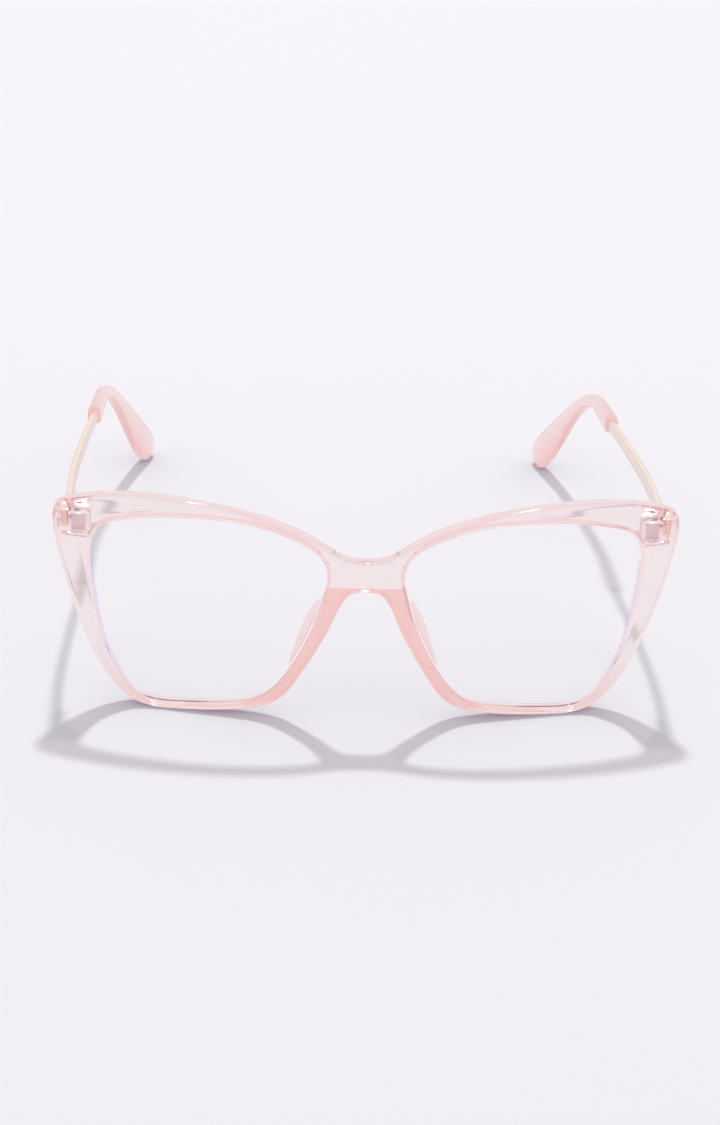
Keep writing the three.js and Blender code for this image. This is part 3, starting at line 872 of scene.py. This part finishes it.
def bar_shape(temple, path):
    """Flat bar from the hinge into the tip's mouth; its faces know how far they look sideways,
    which sets their painted reflections
    """
    end = path[1][SLEEVE_ROW * LINE_STEPS] + temple.mouth_depth
    sections = []
    for i in range(BAR_STEPS + 1):
        way = i / BAR_STEPS
        high = temple.bar_height + (temple.bar_end_height - temple.bar_height) * way
        sections.append(section_at(path, end * way, temple.bar_thickness, high, 0))
    bm = bmesh.new()
    corners = [Vector(corner) / 2 for corner in ((1, 1, 0), (-1, 1, 0), (-1, -1, 0), (1, -1, 0))]
    tube(bm, closed_wire(bm, corners), sections)
    bmesh.ops.recalc_face_normals(bm, faces=bm.faces)
    sharp = [e for e in bm.edges if e.calc_face_angle() > SHARP_ANGLE]
    soften(bm, sharp, temple.bar_round, steps=3)
    bm.normal_update()
    sideways = bm.faces.layers.float.new("sideways")
    for face in bm.faces:
        face[sideways] = min(1, abs(face.normal.x) * SIDE_GAIN)
    return bm


class GLASSES_OT_tips(bpy.types.Operator):
    """Make the moulded pink tips of the temples"""

    bl_idname = "glasses.tips"
    bl_label = "Tips"

    def execute(self, context):
        temple = context.scene.glasses_temple
        material = tip_material(context.scene.glasses_colours)
        for word, side, lean, angle in temple_cases(temple):
            bm = tip_shape(temple, temple_path(context.scene.glasses_hinge, temple, lean))
            stand_temple(bm, side, angle)
            finish(bm, f"tip_shaped_{word}", material, f"temple_{word}", f"temple_tip_{word}")
        return {"FINISHED"}


def tip_shape(temple, path):
    """Tip from its recessed mouth to its rounded end; its points know how far down they lie, which
    sets its painted shade
    """
    start = path[1][SLEEVE_ROW * LINE_STEPS]
    full = path[1][-1] - start
    bm = bmesh.new()
    low = bm.verts.layers.float.new("low")
    ring = bmesh.ops.create_circle(bm, segments=TIP_AROUND, radius=0.5)["verts"]
    # How far down each point lies, for the painted shade on the tip's lower side
    up = Vector((-math.sin(temple.shade_turn), math.cos(temple.shade_turn), 0))
    for v in ring:
        v[low] = 0.5 - up.dot(v.co)
    sections = [tip_section(temple, path, start, full * way, tip_row(way)) for way in TIP_WAYS]
    inside = Matrix.Diagonal((temple.mouth_wide, temple.mouth_tall, 1, 1))
    mouth = tip_section(temple, path, start, temple.mouth_depth, TIP_SHARES[0]) @ inside
    tube(bm, squared_off(ring, TIP_SQUARENESS), [mouth, sections[0] @ inside] + sections)
    for v in bm.verts:
        v.co.z = max(v.co.z, 0)
    return bm


def tip_section(temple, path, start, distance, row):
    """Section of the tip at a distance from its mouth, sized by a row of its table"""
    _, wide, tall, size = row
    return section_at(path, start + distance, temple.sleeve_width * wide * size,
                      temple.paddle_height * tall * size, -temple.tip_offset)


class GLASSES_OT_hinges(bpy.types.Operator):
    """Make the steel hinges: plates with knuckles, leaves and slotted screws"""

    bl_idname = "glasses.hinges"
    bl_label = "Hinges"

    def execute(self, context):
        hinge = context.scene.glasses_hinge
        temple = context.scene.glasses_temple
        steel = steel_material(context.scene.glasses_colours)
        etched = etched_material(context.scene.glasses_colours)
        for word, side, _, angle in temple_cases(temple):
            plate = hinge_plate(hinge)
            flip_to(plate, side)
            piece = finish(plate, f"plate_shaped_{word}", steel, "front", f"hinge_front_{word}")
            piece.data.materials.append(etched)
            leaf = hinge_leaf(hinge, temple)
            stand_temple(leaf, side, angle)
            finish(leaf, f"leaf_shaped_{word}", steel, f"temple_{word}", f"hinge_temple_{word}")
            screw = slotted_screw(hinge, side, f"screw_shaped_{word}")
            settle(screw, steel, "front", f"hinge_screw_{word}")
        return {"FINISHED"}


def knuckle_height(hinge):
    """Height of one of a hinge's three knuckles"""
    return (hinge.height - 2 * hinge.knuckle_gap) / 3


def hinge_plate(hinge):
    """Plate in the right boss, with an upper and a lower knuckle and an etched grip on its outer
    half"""
    bm = bmesh.new()
    bottom, face = SCREW_LOW.z, FRONT_HIGH.y
    top = bottom + hinge.height
    outer = hinge.plate_inner + hinge.plate_width
    rounded_box(bm, Vector((hinge.plate_inner, face - hinge.plate_depth, bottom)),
                Vector((outer, face, top)), hinge.steel_round)
    tall = knuckle_height(hinge)
    axis = Vector((HINGE_X, HINGE_Y, 0))
    for low in (bottom, top - tall):
        upright(bm, hinge.barrel_radius, axis, low, low + tall, hinge.steel_round)
        start = Vector((HINGE_X - hinge.barrel_radius, face - hinge.plate_depth / 2, low))
        end = Vector((HINGE_X + hinge.barrel_radius, HINGE_Y, low + tall))
        rounded_box(bm, start, end, hinge.steel_round)
    edge = hinge.steel_round
    step = Vector(((hinge.plate_width / 2 - edge) / hinge.stud_columns, 0,
                   (hinge.height - 2 * edge) / hinge.stud_rows))
    stud = Vector((step.x * hinge.stud_share, 2 * hinge.stud_rise, step.z * hinge.stud_share))
    corner = Vector((outer - edge, face - hinge.plate_depth, bottom + edge))
    for column in range(hinge.stud_columns):
        for row in range(hinge.stud_rows):
            at = corner + Vector((-step.x * (column + 0.5), 0, step.z * (row + 0.5)))
            made = rounded_box(bm, at - stud / 2, at + stud / 2, 0)
            for etched_face in {f for v in made for f in v.link_faces}:
                etched_face.material_index = 1
    return bm


def hinge_leaf(hinge, temple):
    """Leaf along the right bar's inner side with its knuckle, about the hinge's axis"""
    bm = bmesh.new()
    tall = knuckle_height(hinge)
    low, high = hinge.middle - tall / 2, hinge.middle + tall / 2
    upright(bm, hinge.barrel_radius, Vector(), low, high, hinge.steel_round)
    outer = temple.bar_offset - temple.bar_thickness / 2 - hinge.gap
    end = hinge.leaf_start + hinge.leaf_thickness
    rounded_box(bm, Vector((0, 0, low)), Vector((outer, end, high)), hinge.steel_round)
    half = hinge.leaf_height / 2
    rounded_box(bm, Vector((outer - hinge.leaf_thickness, hinge.leaf_start, hinge.middle - half)),
                Vector((outer, hinge.leaf_start + hinge.leaf_length, hinge.middle + half)),
                hinge.steel_round)
    return bm


def slotted_screw(hinge, side, name):
    """Screw down a hinge's axis with a slot across its rounded head"""
    axis = Vector((side * HINGE_X, HINGE_Y, 0))
    top = SCREW_HIGH.z
    shaft = bmesh.new()
    upright(shaft, hinge.screw_radius, axis, SCREW_LOW.z, top - hinge.head_height / 2,
            hinge.steel_round)
    head = bmesh.new()
    upright(head, hinge.head_radius, axis, top - hinge.head_height, top, hinge.head_round)
    screw = combined(loose(shaft, name), loose(head, "head"), "UNION")
    slot = bmesh.new()
    half = Vector((2 * hinge.head_radius, hinge.slot_width / 2, hinge.slot_depth))
    middle = axis + Vector((0, 0, top))
    rounded_box(slot, middle - half, middle + half, 0)
    return combined(screw, loose(slot, "slot"), "DIFFERENCE")


def add(tree, kind, given=None, **settings):
    """Node of a kind with its settings, fed with plain values and other nodes' outputs"""
    node = tree.nodes.new("ShaderNode" + kind)
    for name, value in settings.items():
        setattr(node, name, value)
    for socket, value in (given or {}).items():
        if isinstance(value, bpy.types.NodeSocket):
            tree.links.new(value, node.inputs[socket])
        else:
            node.inputs[socket].default_value = value
    return node


def new_material(name):
    """Empty material with its output"""
    material = bpy.data.materials.new(name)
    material.use_nodes = True
    tree = material.node_tree
    tree.nodes.clear()
    return material, tree, add(tree, "OutputMaterial")


def noise_group():
    """Shared effect: fine variation of a colour, a roughness and a height over a surface"""
    name = "Moulded surface"
    if name in bpy.data.node_groups:
        return bpy.data.node_groups[name]
    group = bpy.data.node_groups.new(name, "ShaderNodeTree")
    for way, label, kind in (("INPUT", "Colour", "Color"), ("INPUT", "Shade", "Color"),
                             ("INPUT", "Scale", "Float"), ("INPUT", "Smooth", "Float"),
                             ("INPUT", "Rough", "Float"), ("INPUT", "Stretch", "Vector"),
                             ("OUTPUT", "Colour", "Color"), ("OUTPUT", "Roughness", "Float"),
                             ("OUTPUT", "Height", "Float")):
        group.interface.new_socket(label, in_out=way, socket_type="NodeSocket" + kind)
    given = group.nodes.new("NodeGroupInput").outputs
    place = add(group, "TexCoord").outputs["Object"]
    stretched = add(group, "VectorMath", {0: place, 1: given["Stretch"]}, operation="MULTIPLY")
    noise = add(group, "TexNoise", {"Vector": stretched.outputs[0], "Scale": given["Scale"],
                                    "Detail": NOISE_DETAIL}).outputs["Fac"]
    blend = add(group, "Mix", {"Factor": noise, "A": given["Colour"], "B": given["Shade"]},
                data_type="RGBA")
    rough = add(group, "MapRange", {"Value": noise, "To Min": given["Smooth"],
                                    "To Max": given["Rough"]})
    result = group.nodes.new("NodeGroupOutput").inputs
    group.links.new(blend.outputs["Result"], result["Colour"])
    group.links.new(rough.outputs["Result"], result["Roughness"])
    group.links.new(noise, result["Height"])
    return group


def surface(tree, paint, darker, scale, smooth, rough, plain=None, stretch=(1, 1, 1), relief=0):
    """Shader fed by the shared effect, from a colour to a darker share of it and from smooth to
    rough, with its plain values and a fine relief"""
    group = add(tree, "Group", node_tree=noise_group())
    for label, value in (("Colour", (*paint, 1)), ("Shade", (*(c * darker for c in paint), 1)),
                         ("Scale", scale), ("Smooth", smooth), ("Rough", rough),
                         ("Stretch", stretch)):
        group.inputs[label].default_value = value
    shader = add(tree, "BsdfPrincipled", {"Base Color": group.outputs["Colour"],
                                          "Roughness": group.outputs["Roughness"],
                                          **(plain or {})})
    if relief:
        height = add(tree, "Bump", {"Strength": RELIEF_STRENGTH, "Distance": relief,
                                    "Height": group.outputs["Height"]})
        tree.links.new(height.outputs["Normal"], shader.inputs["Normal"])
    return shader


def let_light_through(tree, out, shader, shadow, inside):
    """Lets light pass through a clear piece: the lamps with the shadow's tint, and light that has
    been turned many times inside it straight out with a paler one"""
    path = add(tree, "LightPath").outputs
    turned = maths(tree, "GREATER_THAN", path["Ray Depth"], MOST_TURNS)
    shaded = maths(tree, "MAXIMUM", path["Is Shadow Ray"], path["Is Diffuse Ray"])
    result = shader.outputs["BSDF"]
    for mask, tint in ((turned, inside), (shaded, shadow)):
        clear = add(tree, "BsdfTransparent", {"Color": (*tint, 1)}).outputs["BSDF"]
        result = add(tree, "MixShader", {"Fac": mask, 1: result, 2: clear}).outputs["Shader"]
    tree.links.new(result, out.inputs["Surface"])


def deepen(tree, out, colours):
    """Colour that the clear plastic takes with its depth"""
    depth = add(tree, "VolumeAbsorption", {"Color": (*colours.moulding_depth, 1),
                                           "Density": colours.moulding_density})
    tree.links.new(depth.outputs["Volume"], out.inputs["Volume"])


def paint_over(tree, shader, paint, mask):
    """Turns a shader's colour into a plain one where the mask says so"""
    base = shader.inputs["Base Color"]
    blend = add(tree, "Mix", {"Factor": mask, "A": base.links[0].from_socket, "B": (*paint, 1)},
                data_type="RGBA")
    tree.links.new(blend.outputs["Result"], base)


def ramp(tree, value, span, low, high):
    """Value that goes softly from low to high while the given one goes over a span"""
    return add(tree, "MapRange", {"Value": value, "From Min": span[0], "From Max": span[1],
                                  "To Min": low, "To Max": high},
               interpolation_type="SMOOTHSTEP").outputs["Result"]


def maths(tree, operation, *values):
    """Result of a sum on a few values"""
    return add(tree, "Math", dict(enumerate(values)), operation=operation).outputs[0]


def stored(tree, name):
    """Value that a piece's points or faces know"""
    return add(tree, "Attribute", attribute_name=name).outputs["Fac"]


def places(tree):
    """Place on the surface, how far it is from the middle and how high"""
    place = add(tree, "TexCoord").outputs["Object"]
    split = add(tree, "SeparateXYZ", {0: place}).outputs
    return place, maths(tree, "ABSOLUTE", split["X"]), split["Z"]


def nose_mask(tree, front):
    """Mask of the warm colour: near the nose under the bridge, and faintly along the lower rims
    and at the upper outer corners"""
    place, across, height = places(tree)
    near = ramp(tree, across, NOSE_SPAN, 1, 0)
    foot = ramp(tree, height, FOOT_SPAN, FOOT_WARMTH, 0)
    slope = add(tree, "VectorMath", {0: place, 1: (0, BRIDGE_SLOPE, 1)}, operation="DOT_PRODUCT")
    under = ramp(tree, slope.outputs["Value"], BRIDGE_SPAN, 1, 0)
    bow_centre = (0, front_y(front) + front.face_radius, front.height / 2)
    bow = add(tree, "VectorMath", {0: place, 1: bow_centre}, operation="DISTANCE")
    back_span = [front.face_radius - front.depth + off for off in BACK_SPAN]
    ahead = ramp(tree, bow.outputs["Value"], back_span, BACK_WARMTH, 1)
    low = maths(tree, "MULTIPLY", maths(tree, "MAXIMUM", near, foot),
                maths(tree, "MULTIPLY", under, ahead))
    corner = maths(tree, "MULTIPLY", ramp(tree, across, CORNER_SPAN, 0, CORNER_WARMTH),
                   ramp(tree, height, CORNER_RISE, 0, 1))
    return maths(tree, "MAXIMUM", low, corner)


def edge_shade_mask(tree):
    """Mask of painted shade on the rounded edges, which show as warm lines round the front, and
    faintly on the walls; it stands in for the darker lines that refraction makes there"""
    normal = add(tree, "TexCoord").outputs["Normal"]
    ahead = maths(tree, "ABSOLUTE", add(tree, "SeparateXYZ", {0: normal}).outputs["Y"])
    return maths(tree, "MULTIPLY", ramp(tree, ahead, FACE_TURN, 1, 0),
                 ramp(tree, ahead, WALL_TURN, WALL_SHADE, 1))


def moulding_material(front, colours):
    """Clear pale pink plastic of the front, warmer round the nose, with painted shade as warm
    lines at its edges
    """
    material, tree, out = new_material("clear_pink_moulding")
    shader = surface(tree, colours.moulding, darker=0.98, scale=160, smooth=0.03, rough=0.09,
                     plain=CLEAR)
    # Painted shade: warm lines along the rounded edges
    paint_over(tree, shader, colours.edge, edge_shade_mask(tree))
    paint_over(tree, shader, colours.coral_and_tip_shade, nose_mask(tree, front))
    let_light_through(tree, out, shader, colours.moulding_shadow, colours.moulding_inside)
    deepen(tree, out, colours)
    return material


def tip_material(colours):
    """Frosted pink plastic of the tips, with painted shade that makes them warmer along their lower
    edge
    """
    material, tree, out = new_material("milky_pink_moulding")
    shader = surface(tree, colours.tip, darker=0.98, scale=160, smooth=0.16, rough=0.22,
                     plain=CLEAR)
    # Painted shade: warmer towards the tip's lower side
    paint_over(tree, shader, colours.coral_and_tip_shade, ramp(tree, stored(tree, "low"), TIP_SHADE_SPAN, 0, 1))
    let_light_through(tree, out, shader, colours.tip_shadow, colours.tip_inside)
    deepen(tree, out, colours)
    return material


def lens_material(colours):
    """Clear coated lens with a thin violet line along its outer side: a painted reflection of its
    coat
    """
    material, tree, out = new_material("coated_lens")
    shader = surface(tree, colours.lens, darker=0.997, scale=60, smooth=0.0, rough=0.01,
                     plain=CLEAR)
    # Painted reflection of the coat: violet on the outer, lower rim of the lens
    _, across, height = places(tree)
    outer = maths(tree, "MULTIPLY", ramp(tree, across, COAT_SPAN, 0, 1),
                  ramp(tree, height, COAT_RISE, 1, 0))
    line = maths(tree, "MULTIPLY", ramp(tree, stored(tree, "rim"), RIM_SPAN, 0, 1), outer)
    paint_over(tree, shader, colours.coat_reflection, line)
    let_light_through(tree, out, shader, colours.lens_shadow, colours.lens_inside)
    return material


def metal_material(name, paint, **looks):
    """Metal of a colour; returns it with its tree and its shader"""
    material, tree, out = new_material(name)
    shader = surface(tree, paint, plain={"Metallic": 1}, **looks)
    tree.links.new(shader.outputs["BSDF"], out.inputs["Surface"])
    return material, tree, shader


def gold_material(colours):
    """Champagne gold plating with fine lines along the bar, and painted reflections that make it
    pinker on its sides and darker on its long edges"""
    material, tree, shader = metal_material(
        "champagne_gold", colours.gold, darker=0.95, scale=1, smooth=0.2, rough=0.34,
        stretch=GOLD_LINES, relief=GOLD_RELIEF)
    # Painted reflections: pinker on the sides, darker on the long edges
    sideways = stored(tree, "sideways")
    paint_over(tree, shader, colours.gold_side_reflection, sideways)
    doubled = maths(tree, "ADD", sideways, sideways)
    paint_over(tree, shader, colours.gold_edge_reflection, maths(tree, "COMPARE", doubled, 1, LINE_REACH))
    return material


def steel_material(colours):
    """Satin steel of the hinges"""
    return metal_material("hinge_steel", colours.steel, darker=0.8, scale=2600, smooth=0.25,
                          rough=0.45, relief=STEEL_RELIEF)[0]


def etched_material(colours):
    """Darker steel of the etched grip"""
    return metal_material("etched_steel", colours.etched, darker=0.6, scale=1800, smooth=0.4,
                          rough=0.6, relief=ETCHED_RELIEF)[0]


class GLASSES_OT_stage(bpy.types.Operator):
    """Set the floor, the lights and the camera"""

    bl_idname = "glasses.stage"
    bl_label = "Stage"

    def execute(self, context):
        stage = context.scene.glasses_stage
        colours = context.scene.glasses_colours
        self.floor(stage, colours)
        self.world(context, stage, colours)
        self.key(context, stage, colours)
        self.camera(context, stage)
        context.scene.view_settings.view_transform = "Standard"
        return {"FINISHED"}

    def floor(self, stage, colours):
        """Pale floor just under the glasses"""
        bm = bmesh.new()
        bmesh.ops.create_grid(bm, x_segments=1, y_segments=1, size=stage.floor_half)
        bmesh.ops.translate(bm, vec=(0, 0, -stage.floor_drop), verts=bm.verts)
        floor = loose(bm, "floor")
        material, tree, out = new_material("pale_paper")
        shader = surface(tree, colours.floor, darker=0.99, scale=3, smooth=0.6, rough=0.7,
                         plain={"Specular IOR Level": FLOOR_SHINE})
        tree.links.new(shader.outputs["BSDF"], out.inputs["Surface"])
        floor.data.materials.append(material)

    def world(self, context, stage, colours):
        """Soft light all round, which looks like the floor where it is seen straight or through
        the glasses"""
        world = bpy.data.worlds.new("soft_room")
        world.use_nodes = True
        context.scene.world = world
        tree = world.node_tree
        tree.nodes.clear()
        soft = add(tree, "Background", {"Color": (*colours.sky, 1), "Strength": stage.sky_strength})
        seen = add(tree, "Background", {"Color": (*colours.floor, 1), "Strength": 1})
        path = add(tree, "LightPath").outputs
        straight = maths(tree, "MAXIMUM", path["Is Camera Ray"], path["Is Glossy Ray"])
        straight = maths(tree, "MAXIMUM", straight, path["Is Transmission Ray"])
        unlit = maths(tree, "LESS_THAN", path["Diffuse Depth"], 1)
        mix = add(tree, "MixShader", {"Fac": maths(tree, "MULTIPLY", straight, unlit),
                                      1: soft.outputs[0], 2: seen.outputs[0]})
        add(tree, "OutputWorld", {"Surface": mix.outputs[0]})

    def key(self, context, stage, colours):
        """Key light whose strength doesn't fall with distance"""
        lamp = bpy.data.lights.new("key", "POINT")
        lamp.energy = stage.key_strength
        lamp.shadow_soft_size = stage.key_size
        lamp.color = colours.key
        lamp.use_nodes = True
        tree = lamp.node_tree
        even = add(tree, "LightFalloff", {"Strength": 1})
        glow = next(n for n in tree.nodes if n.type == "EMISSION")
        tree.links.new(even.outputs["Constant"], glow.inputs["Strength"])
        light = bpy.data.objects.new("key", lamp)
        context.scene.collection.objects.link(light)
        light.location = stage.key_place

    def camera(self, context, stage):
        """Camera that looks down on the front from a little to the left"""
        lens = bpy.data.cameras.new("camera")
        lens.lens = stage.focal
        lens.sensor_width = SENSOR_WIDTH
        lens.sensor_fit = "AUTO"
        camera = bpy.data.objects.new("camera", lens)
        context.scene.collection.objects.link(camera)
        level = Vector((-math.sin(stage.azimuth), -math.cos(stage.azimuth), 0))
        offset = level * math.cos(stage.elevation) + Vector((0, 0, math.sin(stage.elevation)))
        camera.location = Vector(stage.aim) + offset * stage.distance
        turn = (-offset).to_track_quat("-Z", "Y").to_matrix()
        camera.rotation_euler = (turn @ Matrix.Rotation(stage.roll, 3, "Z")).to_euler()
        context.scene.camera = camera


class GLASSES_PT_panel(bpy.types.Panel):
    """Buttons that make the glasses piece by piece, and the sizes and colours that they use"""

    bl_label = "Glasses"
    bl_idname = "GLASSES_PT_panel"
    bl_space_type = "VIEW_3D"
    bl_region_type = "UI"
    bl_category = "Glasses"

    def draw(self, context):
        for operator in OPERATORS:
            self.layout.operator(operator.bl_idname)
        for name, group in GROUPS:
            box = self.layout.box()
            box.label(text=group.__doc__)
            for setting in group.__annotations__:
                box.prop(getattr(context.scene, name), setting)


OPERATORS = (GLASSES_OT_stage, GLASSES_OT_front, GLASSES_OT_lenses, GLASSES_OT_hinges,
             GLASSES_OT_bars, GLASSES_OT_tips)
GROUPS = (("glasses_front", FrontSizes), ("glasses_hinge", HingeSizes),
          ("glasses_temple", TempleSizes), ("glasses_colours", Colours),
          ("glasses_stage", StageSizes))


def register():
    """Adds the classes and the scene's settings"""
    for name, group in GROUPS:
        bpy.utils.register_class(group)
        setattr(bpy.types.Scene, name, PointerProperty(type=group))
    for operator in OPERATORS:
        bpy.utils.register_class(operator)
    bpy.utils.register_class(GLASSES_PT_panel)


def unregister():
    """Removes what register added"""
    bpy.utils.unregister_class(GLASSES_PT_panel)
    for operator in reversed(OPERATORS):
        bpy.utils.unregister_class(operator)
    for name, group in reversed(GROUPS):
        delattr(bpy.types.Scene, name)
        bpy.utils.unregister_class(group)


def main():
    """Makes every piece"""
    register()
    bpy.ops.glasses.stage()
    bpy.ops.glasses.front()
    bpy.ops.glasses.lenses()
    bpy.ops.glasses.hinges()
    bpy.ops.glasses.bars()
    bpy.ops.glasses.tips()


if __name__ == "__main__":
    main()
